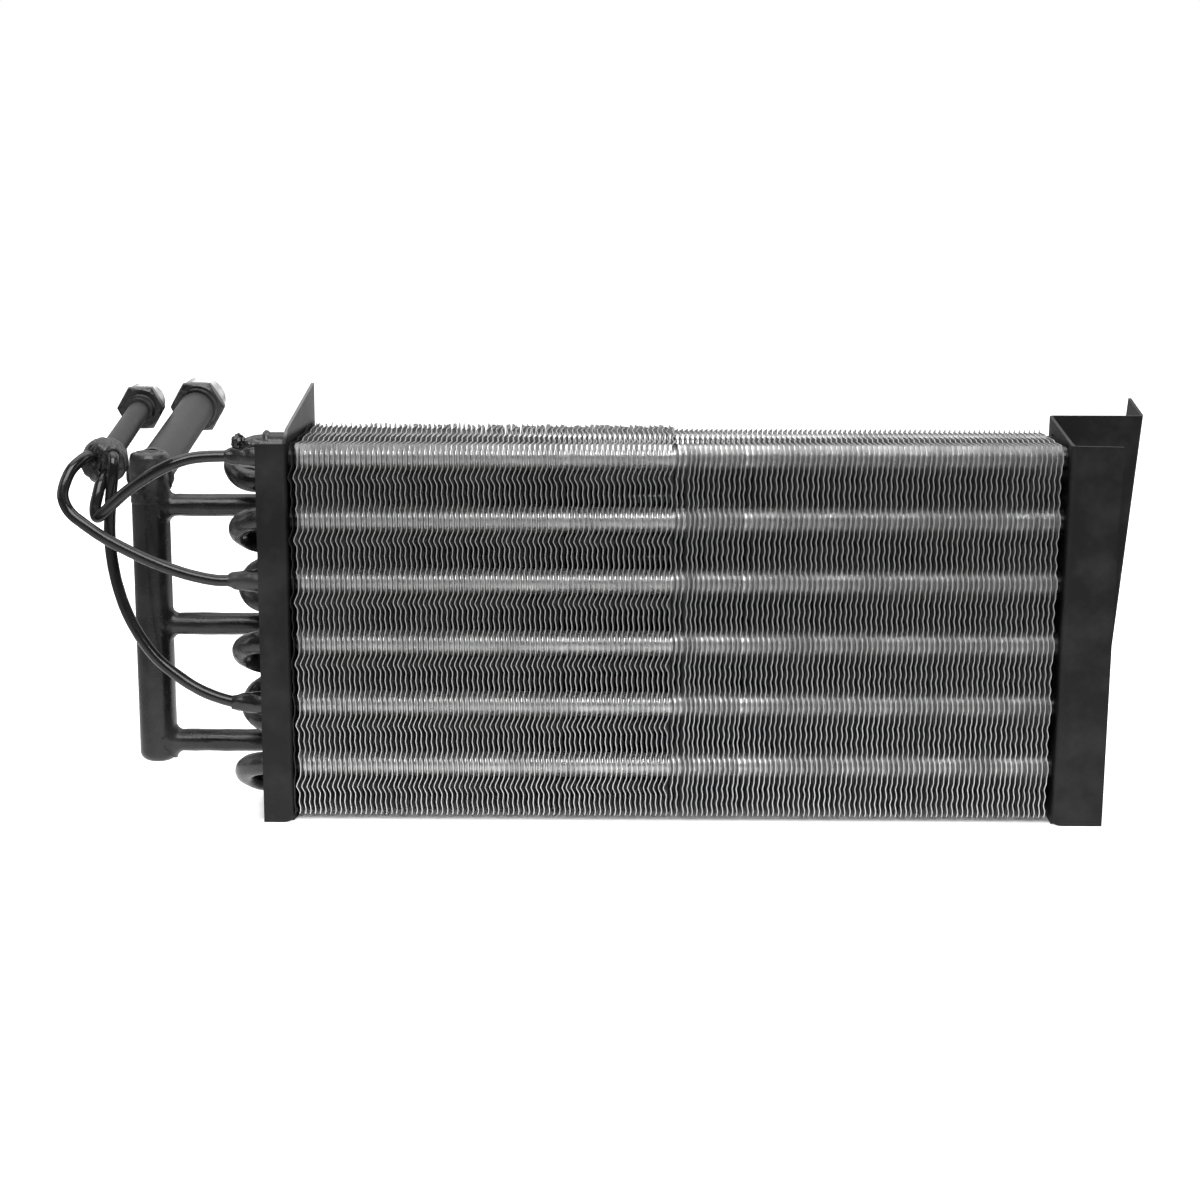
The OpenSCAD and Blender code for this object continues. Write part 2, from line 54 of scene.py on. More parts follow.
class FinSettings(bpy.types.PropertyGroup):
    """Sizes of the fins and their collars."""

    corner: FloatVectorProperty(name="Corner", description="Left, front and lower corner of the finned block",
                                default=(-0.12615, -0.086, 0.0028), size=3, subtype="TRANSLATION", unit="LENGTH")
    left_count: IntProperty(name="Fins, left", description="Fins in the left batch", default=73, min=2)
    right_count: IntProperty(name="Fins, right", description="Fins in the right batch", default=74, min=2)
    pitch: FloatProperty(name="Pitch", description="From one fin to the next", default=2.08 * MM, unit="LENGTH")
    thickness: FloatProperty(name="Thickness", description="Fin sheet, as thick as its edges look",
                             default=0.34 * MM, unit="LENGTH")
    fold: FloatProperty(name="Fold", description="Height of the folds in depth", default=1.0 * MM, unit="LENGTH")
    lip: FloatProperty(name="Lip", description="Depth of the rippled front edge", default=5.0 * MM, unit="LENGTH")
    lean: FloatProperty(name="Lean", description="Shift of a fin's foot to the left", default=1.8 * MM,
                        unit="LENGTH")
    skew: FloatProperty(name="Skew", description="Shift of the rear edge of the first fin", default=1.3 * MM,
                        unit="LENGTH")
    rise: FloatProperty(name="Rise", description="Rear corners bent up in the left batch", default=2.2 * MM,
                        unit="LENGTH")
    stop: FloatProperty(name="Stop", description="Nearest place of a fin to the left plate", default=-2.7 * MM,
                        unit="LENGTH")
    collar: FloatProperty(name="Collar radius", description="Outside of a collar", default=5.15 * MM,
                          unit="LENGTH")


class TubeSettings(bpy.types.PropertyGroup):
    """Sizes of the tubes and the lines."""

    tube_r: FloatProperty(name="Tube radius", description="Core tube", default=4.7625 * MM, unit="LENGTH")
    tube_pitch: FloatProperty(name="Tube pitch", description="Height between tubes", default=25.4 * MM,
                              unit="LENGTH")
    row_pitch: FloatProperty(name="Row pitch", description="Depth between rows", default=19.05 * MM, unit="LENGTH")
    header_r: FloatProperty(name="Header radius", description="Header and suction line", default=7.9375 * MM,
                            unit="LENGTH")
    capillary_r: FloatProperty(name="Capillary radius", description="Capillary tube", default=2.38 * MM,
                               unit="LENGTH")


class FinishSettings(bpy.types.PropertyGroup):
    """Colours of the finishes."""

    paint: FloatVectorProperty(name="Paint", description="Black paint", default=(0.007, 0.007, 0.007), size=3,
                               subtype="COLOR", min=0, max=1)
    dust: FloatVectorProperty(name="Dust", description="Dull patches on the paint", default=(0.026, 0.026, 0.026),
                              size=3, subtype="COLOR", min=0, max=1)
    fin: FloatVectorProperty(name="Fin metal", description="Bare aluminium", default=(0.59, 0.59, 0.59), size=3,
                             subtype="COLOR", min=0, max=1)
    thread: FloatVectorProperty(name="Thread metal", description="Bare metal of the threads",
                                default=(0.75, 0.75, 0.75), size=3, subtype="COLOR", min=0, max=1)


class StageSettings(bpy.types.PropertyGroup):
    """Camera and lights."""

    eye: FloatVectorProperty(name="Eye", description="Place of the camera", default=(0.00995, -0.9996, 0.2629),
                             size=3, subtype="TRANSLATION", unit="LENGTH")
    yaw: FloatProperty(name="Yaw", description="Turn of the camera to the right", default=math.radians(-0.88),
                       subtype="ANGLE")
    pitch: FloatProperty(name="Pitch", description="Downward tilt of the camera", default=math.radians(10.575),
                         subtype="ANGLE")
    roll: FloatProperty(name="Roll", description="Roll of the camera", default=math.radians(0.05), subtype="ANGLE")
    lens: FloatProperty(name="Lens", description="Focal length in millimetres", default=69.42)
    key_power: FloatProperty(name="Key power", description="Watts of the overhead light", default=12.0)
    side_power: FloatProperty(name="Side power", description="Watts of each side light", default=3.0)
    front_power: FloatProperty(name="Front power", description="Watts of the front light", default=33.0)
    floor_glow: FloatProperty(name="Floor glow", description="Brightness added to the floor", default=0.72)
    floor_sheen: FloatProperty(name="Floor sheen", description="Brightness that the object gets from it",
                               default=1.1)


# Mesh building


def normalised(v):
    """Vectors divided by their length along the last axis."""
    return v / np.maximum(np.linalg.norm(v, axis=-1, keepdims=True), 1e-12)


def grid_faces(rows, cols, wrap_rows=False, wrap_cols=True):
    """Quads of a grid of points, numbered row by row; a wrapped direction closes on itself."""
    i = np.arange(rows if wrap_rows else rows - 1)[:, None]
    j = np.arange(cols if wrap_cols else cols - 1)[None, :]
    i2, j2 = (i + 1) % rows, (j + 1) % cols
    corners = [i * cols + j, i * cols + j2, i2 * cols + j2, i2 * cols + j]
    return np.stack(np.broadcast_arrays(*corners), axis=-1).reshape(-1, 4)


def tube_shell(grid, caps=True, closed_path=False):
    """Faces of a grid (rings, sides, 3) as a closed tube: quads, and one flat face at each end."""
    rings, sides = grid.shape[:2]
    faces = [grid_faces(rings, sides, wrap_rows=closed_path)]
    if caps and not closed_path:
        ends = np.stack([np.arange(sides)[::-1], (rings - 1) * sides + np.arange(sides)])
        faces.append(ends)
    return grid.reshape(-1, 3), faces


def build(name, shells, material, nodes=(), sharp=40.0):
    """One object from shells of (points, face arrays). Its edges over the sharp angle stay crisp."""
    points = np.concatenate([p for p, _ in shells])
    starts = np.cumsum([0] + [len(p) for p, _ in shells[:-1]])
    faces = [f + start for (_, group), start in zip(shells, starts) for f in group]
    loops = np.concatenate([f.ravel() for f in faces]).astype(np.int32)
    sizes = np.concatenate([np.full(len(f), f.shape[1]) for f in faces])
    mesh = bpy.data.meshes.new(name)
    mesh.vertices.add(len(points))
    mesh.vertices.foreach_set("co", points.astype(np.float32).ravel())
    mesh.loops.add(len(loops))
    mesh.loops.foreach_set("vertex_index", loops)
    mesh.polygons.add(len(sizes))
    mesh.polygons.foreach_set("loop_start", np.concatenate([[0], np.cumsum(sizes)[:-1]]).astype(np.int32))
    mesh.update(calc_edges=True)
    mesh.validate()
    mesh.shade_smooth()
    mesh.set_sharp_from_angle(angle=math.radians(sharp))
    mesh.materials.append(material)
    piece = bpy.data.objects.new(name, mesh)
    bpy.context.scene.collection.objects.link(piece)
    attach(piece, BODY)
    if nodes:
        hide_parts(*nodes)
    return piece


def carried_frames(path):
    """Tangent, side and up at each point of a path. Each side is the last one with its part along the tangent
    taken out, so the frame doesn't twist."""
    tangent = normalised(np.gradient(path, axis=0))
    side = np.empty_like(tangent)
    first = np.cross(tangent[0], (0.3, 0.2, 1.0))
    side[0] = first / np.linalg.norm(first)
    for i in range(1, len(path)):
        s = side[i - 1] - tangent[i] * (side[i - 1] @ tangent[i])
        side[i] = s / np.linalg.norm(s)
    return tangent, side, np.cross(tangent, side)


def swept(path, radius, sides=24):
    """Grid of a round tube along a path: point = centre + r (side cos a + up sin a), with r one number, or one for
    each ring."""
    _, side, up = carried_frames(path)
    a = np.linspace(0, 2 * np.pi, sides, endpoint=False)
    r = np.broadcast_to(np.asarray(radius, float).reshape(-1, 1), (len(path), sides))
    ring = side[:, None, :] * np.cos(a)[None, :, None] + up[:, None, :] * np.sin(a)[None, :, None]
    return path[:, None, :] + r[:, :, None] * ring


def turned(profile, at, axis, sides=48):
    """Grid of a profile of (length along the axis, radius) turned about an axis through a point."""
    profile = np.asarray(profile, float)
    axis = np.asarray(axis, float) / np.linalg.norm(axis)
    path = np.asarray(at, float) + profile[:, :1] * axis
    side = np.cross(axis, (0.0, 0.0, 1.0) if abs(axis[2]) < 0.9 else (0.0, 1.0, 0.0))
    side /= np.linalg.norm(side)
    up = np.cross(axis, side)
    a = np.linspace(0, 2 * np.pi, sides, endpoint=False)
    ring = side * np.cos(a)[:, None] + up * np.sin(a)[:, None]
    return path[:, None, :] + profile[:, 1:, None] * ring[None]


def smooth_path(points, per_piece=8):
    """Points on the smooth curve through a route: cubic pieces whose tangents run parallel to the chords of the
    neighbours."""
    p = np.asarray(points, float)
    ext = np.concatenate([p[:1], p, p[-1:]])
    t = np.linspace(0, 1, per_piece, endpoint=False)[None, :, None]
    p0, p1, p2, p3 = (ext[i:len(ext) - 3 + i, None, :] for i in range(4))
    curve = 0.5 * (2 * p1 + t * (p2 - p0) + t**2 * (2 * p0 - 5 * p1 + 4 * p2 - p3)
                   + t**3 * (3 * p1 - p0 - 3 * p2 + p3))
    return np.concatenate([curve.reshape(-1, 3), p[-1:]])


def lumps(grid, height, scale, seed):
    """Pushes a grid in and out along its own normals by a sum of sine waves of random direction, so that it looks
    like a solidified braze bead."""
    rng = np.random.default_rng(seed)
    normal = normalised(np.cross(np.gradient(grid, axis=1), np.gradient(grid, axis=0)))
    total = np.zeros(grid.shape[:2])
    for octave in range(5):
        direction = normalised(rng.normal(size=3)) * scale * (1.5 ** octave)
        total += np.sin(grid @ direction * 2 * np.pi + rng.uniform(0, 6.28)) / (1.3 ** octave)
    return grid + normal * (total * height / 2.2)[:, :, None]


# Places, worked out from the frame


def core_origin():
    """Left, front and lower corner of the finned block, in the row frame."""
    return np.array(bpy.context.scene.core_fins.corner)


TOP_TUBE = (5.75, 5.25, 5.75)
TUBES = 6


def tube_at(row, k):
    """Depth and height of a tube, in the row frame. Row 0 is the front row and tube 0 the top one."""
    s = bpy.context.scene.core_tubes
    origin = core_origin()
    return np.array([origin[1] + (row + 0.5) * s.row_pitch, origin[2] + (TOP_TUBE[row] - k) * s.tube_pitch])


def in_core(points):
    """Points in millimetres from the finned block's corner, as points of the row frame."""
    return np.asarray(points, float) * MM + core_origin()


# Materials


def node(tree, kind, **settings):
    """A node of a material, with inputs given by name and other settings as attributes."""
    n = tree.nodes.new(kind)
    for key, value in settings.items():
        name = key.replace("_", " ").title()
        if name in n.inputs:
            n.inputs[name].default_value = value
        else:
            setattr(n, key, value)
    return n


def noise(tree, scale, detail=3.0, rough=0.5):
    """Noise on Object coordinates."""
    place = node(tree, "ShaderNodeTexCoord")
    n = node(tree, "ShaderNodeTexNoise", scale=scale, detail=detail, roughness=rough)
    tree.links.new(place.outputs["Object"], n.inputs["Vector"])
    return n.outputs["Fac"]


def spread(tree, value, low, high, to_low, to_high):
    """A value's band from low to high, spread over another."""
    n = node(tree, "ShaderNodeMapRange")
    for name, number in (("From Min", low), ("From Max", high), ("To Min", to_low), ("To Max", to_high)):
        n.inputs[name].default_value = number
    tree.links.new(value, n.inputs["Value"])
    return n.outputs["Result"]


def mixed(tree, factor, a, b):
    """Two colours mixed by a factor."""
    n = node(tree, "ShaderNodeMix", data_type="RGBA")
    tree.links.new(factor, n.inputs["Factor"])
    n.inputs[6].default_value = (*a, 1.0)
    n.inputs[7].default_value = (*b, 1.0)
    return n.outputs[2]


def bumped(tree, height, strength, distance):
    """A bump node on a height."""
    n = node(tree, "ShaderNodeBump", strength=strength, distance=distance)
    tree.links.new(height, n.inputs["Height"])
    return n.outputs["Normal"]


def paint(name, colour, dust, rough=(0.38, 0.6), grain=900.0, relief=0.25, gloss=0.5,
          painted_sheen_above=None):
    """Black paint: dull dusty patches, and a fine orange peel. Above a height it can be painted a lighter grey: a
    painted sheen, which stands in for light reflected at a grazing angle.
    """
    m = bpy.data.materials.new(name)
    m.use_nodes = True
    tree = m.node_tree
    shader = tree.nodes["Principled BSDF"]
    patches = noise(tree, 45.0, 5.0, 0.6)
    colours = mixed(tree, spread(tree, patches, 0.45, 0.75, 0.0, 1.0), colour, dust)
    tree.links.new(colours, shader.inputs["Base Color"])
    tree.links.new(spread(tree, patches, 0.3, 0.7, *rough), shader.inputs["Roughness"])
    tree.links.new(bumped(tree, noise(tree, grain, 2.0), relief, 0.0003), shader.inputs["Normal"])
    shader.inputs["Specular IOR Level"].default_value = gloss
    if painted_sheen_above is not None:
        height = node(tree, "ShaderNodeSeparateXYZ")
        tree.links.new(node(tree, "ShaderNodeTexCoord").outputs["Object"], height.inputs[0])
        sheen_mix = node(tree, "ShaderNodeMix", data_type="RGBA")
        tree.links.new(spread(tree, height.outputs["Z"], painted_sheen_above, painted_sheen_above + 2 * MM, 0.0, 1.0),
                       sheen_mix.inputs["Factor"])
        tree.links.new(colours, sheen_mix.inputs[6])
        # Painted sheen: the lighter grey above the height stands in for the bright background that the paint
        # reflects at a grazing angle.
        sheen_mix.inputs[7].default_value = (0.13, 0.13, 0.13, 1.0)
        tree.links.new(sheen_mix.outputs[2], shader.inputs["Base Color"])
    return m


def bare_metal(name, colour, stained, rough=(0.3, 0.5), grain=1500.0, relief=0.1, metallic=1.0):
    """Bare metal: stained patches, streaks and a fine grain."""
    m = bpy.data.materials.new(name)
    m.use_nodes = True
    tree = m.node_tree
    shader = tree.nodes["Principled BSDF"]
    shader.inputs["Metallic"].default_value = metallic
    patches = noise(tree, 60.0, 6.0, 0.65)
    tree.links.new(mixed(tree, spread(tree, patches, 0.35, 0.7, 0.0, 1.0), colour, stained),
                   shader.inputs["Base Color"])
    tree.links.new(spread(tree, patches, 0.3, 0.7, *rough), shader.inputs["Roughness"])
    tree.links.new(bumped(tree, noise(tree, grain, 2.0), relief, 0.0002), shader.inputs["Normal"])
    return m


# Height above which the left plate's paint is a lighter grey, a painted sheen.
PAINTED_SHEEN_ABOVE = 0.157


def material(name):
    """A material made before, by name, or now."""
    if name in bpy.data.materials:
        return bpy.data.materials[name]
    look = bpy.context.scene.core_finish
    dark, dust = tuple(look.paint), tuple(look.dust)
    makers = {
        "tube_paint": lambda: paint(name, dark, dust, rough=(0.18, 0.36), gloss=0.38),
        "plate_paint": lambda: paint(name, dark, (0.022, 0.022, 0.022), rough=(0.42, 0.6), grain=1300.0,
                                     relief=0.12, gloss=0.2),
        # Suction line paint: its lighter black base is a painted light for the top light that falls on the rising
        # line; its dull patches and roughness are the paint's own.
        "line_paint": lambda: paint(name, (0.022, 0.022, 0.022), (0.04, 0.04, 0.04), rough=(0.45, 0.6),
                                    relief=0.12, gloss=0.4),
        # The left plate's ear above the fins carries the painted sheen.
        "left_plate_paint": lambda: paint(name, dark, (0.022, 0.022, 0.022), rough=(0.42, 0.6), grain=1300.0,
                                          relief=0.12, gloss=0.2, painted_sheen_above=PAINTED_SHEEN_ABOVE),
        # Liquid line paint: lighter patches over black, partly dust and partly a painted light for the top light
        # that falls on the line.
        "dust_and_top_light_line_paint": lambda: paint(name, dark, (0.045, 0.045, 0.045), rough=(0.35, 0.6), gloss=0.25),
        "braze_paint": lambda: paint(name, dark, (0.045, 0.045, 0.045), rough=(0.14, 0.42), grain=420.0,
                                     relief=0.7, gloss=0.45),
        "capillary_paint": lambda: paint(name, dark, (0.016, 0.016, 0.016), rough=(0.1, 0.2), relief=0.15,
                                         gloss=0.4),
        "fin_metal": lambda: bare_metal(name, tuple(look.fin), (0.42, 0.42, 0.42), rough=(0.3, 0.5)),
        # Collar metal: the fins' own aluminium, made far lighter and partly diffuse, a painted light that stands
        # in for the bright reflections on the collars; the fin metal is the darker copy.
        "collar_metal": lambda: bare_metal(name, (0.95, 0.95, 0.95), (0.85, 0.85, 0.85), rough=(0.2, 0.32),
                                           metallic=0.72),
        # Middle-row collars: a darker copy of the collar metal, a painted shade for their depth between the fins.
        "inner_metal_painted_shade": lambda: bare_metal(name, (0.3, 0.3, 0.3), (0.15, 0.15, 0.15), rough=(0.5, 0.7)),
        "thread_metal": lambda: bare_metal(name, tuple(look.thread), (0.4, 0.4, 0.4), rough=(0.3, 0.5)),
    }
    return makers[name]()


# Fins


LEFT_RIPPLE = ((0.0, 0.5), (3.3, 0.4), (7.3, -1.35), (10.5, 0.2), (13.8, -0.25), (17.2, 0.45), (20.4, -0.35),
               (22.6, 0.3))
RIGHT_RIPPLE = ((0.0, 0.8), (2.5, 0.4), (5.2, 0.4), (7.4, -0.3), (10.8, 0.4), (13.8, -0.3), (17.2, 0.45),
                (19.6, -0.15), (22.0, 0.6))
LIP_STEPS = (0.0, 0.28, 0.6, 1.0)
BODY_DEPTHS = (5.0, 9.525, 14.3, 19.05, 23.8, 28.575, 33.3, 38.1, 42.9, 47.625, 52.4, 57.15)
ROWS_PER_PITCH = 20
BENT_FINS = ((75, 0.5), (76, 0.3), (86, -0.45), (87, -0.2), (52, 0.25))


def ripple(z, corners, tube_z, pitch):
    """Sideways ripple along a fin's front edge: straight pieces between corners, given by the height below the
    nearest tube above, and repeated at every tube."""
    below = np.mod((tube_z - z) / MM, pitch / MM)
    return np.interp(below, *np.array(corners).T, period=pitch / MM) * MM


def zigzag(y, row_pitch):
    """Fold in depth: a triangle wave that is 1 at each tube row and 0 halfway between them and at the front edge,
    and goes on to -1 at the rear edge."""
    return np.interp(y / row_pitch, (0.0, 0.5, 1.0, 1.5, 2.0, 2.5, 3.0), (0, 1, 0, 1, 0, 1, -1))


def batch_shape(side):
    """First fin, number of fins, ripple, fold direction and skew of a batch."""
    s = bpy.context.scene.core_fins
    if side == "left":
        return 0, s.left_count, LEFT_RIPPLE, 1.0, s.skew
    return s.left_count, s.right_count, RIGHT_RIPPLE, -1.0, 0.0


def sheet_x(fins, y, z, side):
    """Middle of each fin's sheet, for an array of fins, depths and heights that broadcast together: its place,
    plus the fold in depth, minus the lean towards the foot, plus the skew of the rear edge, but never nearer to
    the left plate than the stop."""
    s, t = bpy.context.scene.core_fins, bpy.context.scene.core_tubes
    first, count, _, direction, skew = batch_shape(side)
    height, depth = TUBES * t.tube_pitch, 3 * t.row_pitch
    along = (fins - first) / count
    x = ((fins + 0.5) * s.pitch + direction * s.fold * zigzag(y, t.row_pitch)
         - s.lean * (1 - z / height) + skew * (y / depth) * (1 - along))
    return np.maximum(x, s.stop + skew * y / depth)


def fin_run(first, count, side, seed):
    """Shells of a run of fins. The front lip of a fin is a sheet with many levels, shifted sideways by the ripple,
    which fades out with depth; the body behind it has three levels, the top one drawn up and over at the rear."""
    s, t = bpy.context.scene.core_fins, bpy.context.scene.core_tubes
    height, depth = TUBES * t.tube_pitch, 3 * t.row_pitch
    batch_first, batch_count, bumps, _, _ = batch_shape(side)
    rng = np.random.default_rng(seed)
    fins = np.arange(first, first + count, dtype=float)[:, None, None]
    jitter = rng.normal(0, 0.05 * MM, (count, 1, 1))
    strength = rng.normal(1.0, 0.08, (count, 1, 1))
    for fin, shift in BENT_FINS:
        jitter[:, 0, 0] += np.where(fins[:, 0, 0] == fin, shift * MM, 0.0)
    z = np.linspace(0, height, TUBES * ROWS_PER_PITCH + 1)[None, :, None]
    slip = rng.normal(0, 0.12 * MM, (count, 1, 1))
    y = (np.array(LIP_STEPS) * s.lip)[None, None, :]
    fade = 0.5 + 0.5 * np.cos(np.pi * y / s.lip)
    wave = ripple(z + slip, bumps, TOP_TUBE[0] * t.tube_pitch, t.tube_pitch)
    lip = np.maximum(sheet_x(fins, y, z, side) + (wave * strength + jitter) * fade, s.stop)
    y2 = (np.array(BODY_DEPTHS) * MM)[None, None, :]
    z2 = np.array([0.0, height - 1.6 * MM, height])[None, :, None]
    body = sheet_x(fins, y2, z2, side)
    up = np.zeros((count, 3, len(BODY_DEPTHS)))
    if side == "left":
        far = np.clip((y2[0, 0] / depth - 0.25) / 0.5, 0, 1)
        ragged = rng.normal(0, 0.3 * MM, (count, len(BODY_DEPTHS))) * far
        along = (fins[:, :, 0] - batch_first) / batch_count
        up[:, 2] = s.rise * far * (1 - 0.35 * along) + ragged
        body[:, 2] += (0.4 * MM + ragged) * far
    return [slab(lip, y, np.broadcast_to(z, lip.shape), s.thickness),
            slab(body, y2, z2 + up, s.thickness)]


def slab(x, y, z, thickness):
    """Closed faces of a run of sheets (fin, level, depth), each given a thickness: a wall round each, and strips
    over its top and under its foot."""
    loop_x = np.concatenate([x - thickness / 2, (x + thickness / 2)[:, :, ::-1]], axis=2)
    loop_y = np.broadcast_to(y, x.shape)
    loop_y = np.concatenate([loop_y, loop_y[:, :, ::-1]], axis=2)
    loop_z = np.concatenate([z, z[:, :, ::-1]], axis=2)
    points = np.stack([loop_x, loop_y, loop_z], axis=-1) + core_origin()
    count, rows, loop = loop_x.shape
    wall = grid_faces(rows, loop)
    i = np.arange(loop // 2 - 1)
    strip = np.stack([i, i + 1, loop - 2 - i, loop - 1 - i], axis=1)
    top = strip + (rows - 1) * loop
    one = np.concatenate([wall[:, ::-1], strip, top[:, ::-1]])
    faces = (one[None] + (np.arange(count) * rows * loop)[:, None, None]).reshape(-1, 4)
    return points.reshape(-1, 3), [faces]


class CORE_OT_fins(bpy.types.Operator):
    """Make the fins of both batches"""

    bl_idname = "core.fins"
    bl_label = "Fins"

    def execute(self, context):
        for side in ("left", "right"):
            first, count = batch_shape(side)[:2]
            half = count // 2
            for part, (start, number) in enumerate(((first, half), (first + half, count - half))):
                shells = fin_run(start, number, side, seed=11 + part + 5 * (side == "right"))
                build(f"fins_{side}_{part + 1}", shells, material("fin_metal"), [f"fin_stack_{side}"],
                      sharp=35)
        build("fin_against_plate", fin_run(-1, 1, "left", seed=31), material("tube_paint"),
              ["fin_stack_left"], sharp=35)
        return {"FINISHED"}


COLLAR_STEPS = ((0.0, 0.3), (0.28, 0.0), (0.97, -0.03))
COLLAR_SIDES = 18


class CORE_OT_collars(bpy.types.Operator):
    """Make the collars, which reach from fin to fin round every tube"""

    bl_idname = "core.collars"
    bl_label = "Collars"

    def execute(self, context):
        s, t = context.scene.core_fins, context.scene.core_tubes
        origin = core_origin()
        steps = np.array(COLLAR_STEPS)
        height = TUBES * t.tube_pitch
        for side in ("left", "right"):
            first, count, _, direction, _ = batch_shape(side)
            fins = np.arange(first, first + count)
            if side == "right":
                fins = fins[:-1]
            x = ((fins[:, None] + 0.5 + steps[None, :, 0]) * s.pitch).ravel()
            r = np.broadcast_to(s.collar + steps[:, 1] * MM, (len(fins), len(steps))).ravel()
            profile = np.stack([x, r], axis=1)
            outer, inner = [], []
            for row in range(3):
                for k in range(TUBES):
                    y, z = tube_at(row, k)
                    shift = direction * s.fold - s.lean * (1 - (z - origin[2]) / height)
                    grid = turned(profile, (origin[0] + shift, y, z), (1, 0, 0), COLLAR_SIDES)
                    if row == 1:
                        inner.append(tube_shell(grid[[0, -1]]))
                    else:
                        outer.append(tube_shell(grid))
            build(f"collars_{side}", outer, material("collar_metal"), [f"fin_stack_{side}"])
            # The middle-row collars get the darker metal, a painted shade.
            build(f"collars_inner_{side}", inner, material("inner_metal_painted_shade"), [f"fin_stack_{side}"])
        return {"FINISHED"}


# Tubes


BELL_MOUTH = -13.5
LONG_BELL_MOUTH = -18.0


def bead(at, axis, radius, width, seed, height=0.5 * MM, sides=40):
    """Grid of a braze bead: a small ring of round section about an axis, lumpy, closed both ways."""
    a = np.linspace(0, 2 * np.pi, 12, endpoint=False)
    profile = np.stack([width * np.sin(a), radius + 0.55 * width * np.cos(a)], axis=1)
    grid = turned(profile, at, axis, sides)
    return lumps(grid, height, 260.0, seed)


def closed_both(grid):
    """Faces of a grid that closes in both directions."""
    return grid.reshape(-1, 3), [grid_faces(*grid.shape[:2], wrap_rows=True)]


def blob(at, radii, height, scale, seed):
    """A lumpy ellipsoid: rings from one pole to the other along X."""
    a = np.linspace(0.06, np.pi - 0.06, 22)
    b = np.linspace(0, 2 * np.pi, 28, endpoint=False)
    unit = np.stack([np.broadcast_to(-np.cos(a)[:, None], (22, 28)), np.sin(a)[:, None] * np.cos(b)[None],
                     np.sin(a)[:, None] * np.sin(b)[None]], axis=-1)
    return tube_shell(lumps(in_core(at) + unit * np.array(radii) * MM, height, scale, seed))


BENDS = (("return_bend_front_1", 0, 1, BELL_MOUTH), ("return_bend_front_2", 0, 3, BELL_MOUTH),
         ("return_bend_front_3", 0, 5, BELL_MOUTH), ("return_bend_rear_1", 1, 0, LONG_BELL_MOUTH),
         ("return_bend_rear_2", 1, 2, BELL_MOUTH), ("return_bend_rear_3", 1, 4, BELL_MOUTH))


class CORE_OT_return_bends(bpy.types.Operator):
    """Make the return bends between neighbouring rows, with the beads of their joints"""

    bl_idname = "core.return_bends"
    bl_label = "Return bends"

    def execute(self, context):
        t = context.scene.core_tubes
        origin = core_origin()
        for seed, (name, row, k, mouth) in enumerate(BENDS):
            a, b = tube_at(row, k), tube_at(row + 1, k)
            middle, half = (a + b) / 2, (b - a) / 2
            span = np.linalg.norm(half)
            x0 = origin[0] + (mouth - 0.5) * MM
            turn = np.linspace(0, np.pi, 41)
            arc = np.stack([x0 - span * np.sin(turn), middle[0] - half[0] * np.cos(turn),
                            middle[1] - half[1] * np.cos(turn)], axis=1)
            leg = np.array([[5.0 * MM, 0, 0]])
            path = np.concatenate([arc[:1] + leg, arc, arc[-1:] + leg])
            squeeze = 1 - 0.05 * np.concatenate([[0], np.sin(turn) ** 2, [0]])
            grid = lumps(swept(path, t.tube_r * squeeze, 32), 0.12 * MM, 110.0, 60 + seed)
            shells = [tube_shell(grid)]
            for end, place in enumerate((a, b)):
                at = (x0 + 0.6 * MM, *place)
                shells.append(closed_both(bead(at, (1, 0, 0), t.tube_r + 0.3 * MM, 1.5 * MM, 40 + 2 * seed + end,
                                               0.55 * MM)))
            if name == "return_bend_rear_1":
                shells.append(blob((-23.0, 34.0, 138.0), (4.2, 3.5, 5.5), 0.5 * MM, 150.0, 13))
            build(name + "_brazed", shells, material("braze_paint"), [name])
        return {"FINISHED"}


ROUTE_1 = ((-80, 28, 138), (-80, 22, 137), (-81, 17, 134.5), (-82, 14.5, 130), (-83, 13, 124.5), (-82.5, 12, 121),
           (-80.5, 11, 121.5), (-75, 9.5, 126.5), (-68, 8.5, 132.5), (-59, 8, 138.5), (-50, 8, 143),
           (-41, 9, 145.5), (-30, 9.525, 146.05), (-19, 9.525, 146.05))
ROUTE_2 = ((-85, 28, 143.5), (-85, 22, 144), (-87, 17, 144.5), (-91, 12, 141), (-93.5, 9, 136), (-94.5, 7, 130),
           (-92, 6, 124), (-86, 5, 119), (-77.5, 5, 113), (-67.5, 5.5, 107.5), (-56, 6.5, 102), (-45, 7.5, 98),
           (-35, 9, 95.5), (-27, 9.525, 95.25), (-19, 9.525, 95.25))
ROUTE_3 = ((-77, 28, 143.5), (-77, 22, 144.5), (-76, 17.5, 143.5), (-76, 16, 138), (-77, 16, 130),
           (-78, 16, 119), (-78, 15.5, 108), (-76, 15, 94), (-72, 14, 81.5), (-66.5, 13, 71), (-59.5, 12, 62),
           (-51, 11, 55), (-42, 10, 49.5), (-33, 9.525, 46), (-26, 9.525, 44.45), (-19, 9.525, 44.45))
SLEEVE_END = -29.0


